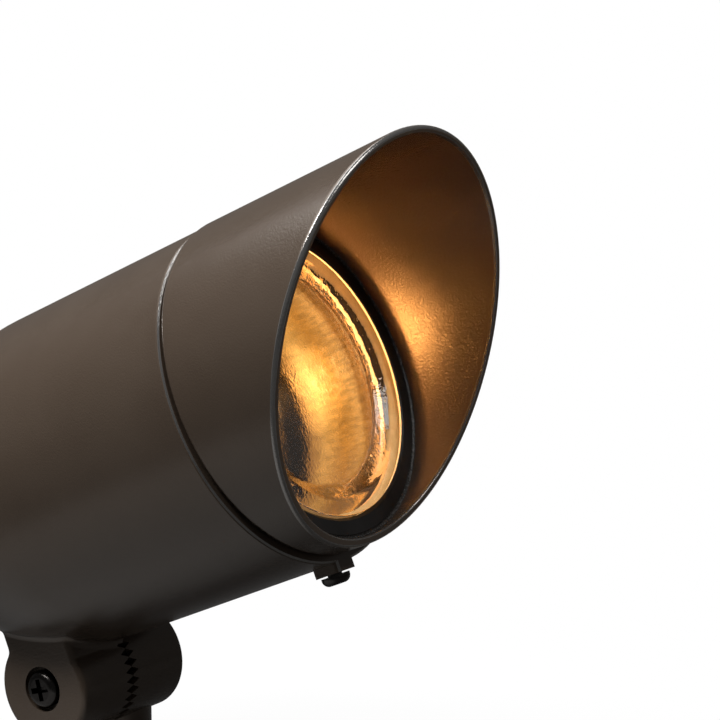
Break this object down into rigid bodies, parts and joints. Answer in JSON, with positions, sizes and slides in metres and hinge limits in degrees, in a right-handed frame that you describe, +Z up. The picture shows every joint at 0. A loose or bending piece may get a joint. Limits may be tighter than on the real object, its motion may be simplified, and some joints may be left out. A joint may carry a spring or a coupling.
{
  "type": "accent spotlight",
  "caption": "Bronze-coated outdoor accent spotlight: cup housing, slant-cut hood that turns and pulls out, clear dished lens over a reflector lamp, toothed clamp knuckle on a threaded stem.",
  "frame": {"origin": "on the stem's axis, at the shoulder where its thread begins", "axes": "+Z up along the stem, the light shines towards +X, the knuckle turns about Y"},
  "size_m": [0.2032, 0.1139, 0.2389],
  "materials": {
    "bronze_coat": "satin bronze powder coat on cast metal",
    "black_ring": "black coat",
    "sealant": "glossy cured bead",
    "soft_ring": "soft black",
    "pale_silicone": "pale cream",
    "clear_glass": "polished",
    "lamp_glass": "pressed",
    "lamp_silver": "silvered bowl",
    "burner_glass": "quartz",
    "burner_ceramic": "matt",
    "plated_brass": "nickel plated",
    "black_glass": "fused",
    "porcelain": "glazed",
    "zinc_steel": "zinc plated",
    "green_screw": "green dyed",
    "dark_screw": "black oxide"
  },
  "bodies": {
    "base": {"knuckle_base": "bronze_coat"},
    "knuckle_screw": {"knuckle_screw": "dark_screw", "knuckle_lock_washer": "dark_screw"},
    "head": {"housing": "bronze_coat", "socket_body": "porcelain", "socket_shell": "plated_brass", "socket_contact": "plated_brass", "socket_bracket": "zinc_steel", "socket_screws": "zinc_steel", "bracket_screws": "zinc_steel", "ground_screw": "green_screw", "wire_grommet": "soft_ring", "lamp_front_glass": "lamp_glass", "lamp_reflector": "lamp_silver", "lamp_capsule_mount": "burner_ceramic", "lamp_capsule": "burner_glass", "lamp_base_shell": "plated_brass", "lamp_base_insulator": "black_glass", "lamp_base_contact": "plated_brass"},
    "clamp_screw": {"hood_clamp_screw": "dark_screw"},
    "hood_seal": {"hood_seal": "soft_ring"},
    "hood": {"hood": "bronze_coat", "lens_gasket": "pale_silicone", "lens": "clear_glass", "lens_retaining_ring": "black_ring", "lens_sealant": "sealant"}
  },
  "joints": [
    {"name": "head_tilt", "type": "hinge", "parent": "base", "child": "head", "pos_m": [0, -0.01375, 0.034], "axis": [0, -1, 0], "range_deg": [-90, 45]},
    {"name": "knuckle_screw_travel", "type": "slide", "parent": "base", "child": "knuckle_screw", "axis": [0, -1, 0], "range_m": [0, 0.005]},
    {"name": "hood_pull", "type": "slide", "parent": "head", "child": "hood_seal", "axis": [0.9184, 0, 0.3955], "range_m": [0, 0.02]},
    {"name": "hood_turn", "type": "hinge", "parent": "hood_seal", "child": "hood", "pos_m": [0.08247, -0.01375, 0.14083], "axis": [0.9184, 0, 0.3955], "continuous": true},
    {"name": "clamp_screw_travel", "type": "slide", "parent": "head", "child": "clamp_screw", "axis": [0.3955, 0, -0.9184], "range_m": [0, 0.005]}
  ]
}
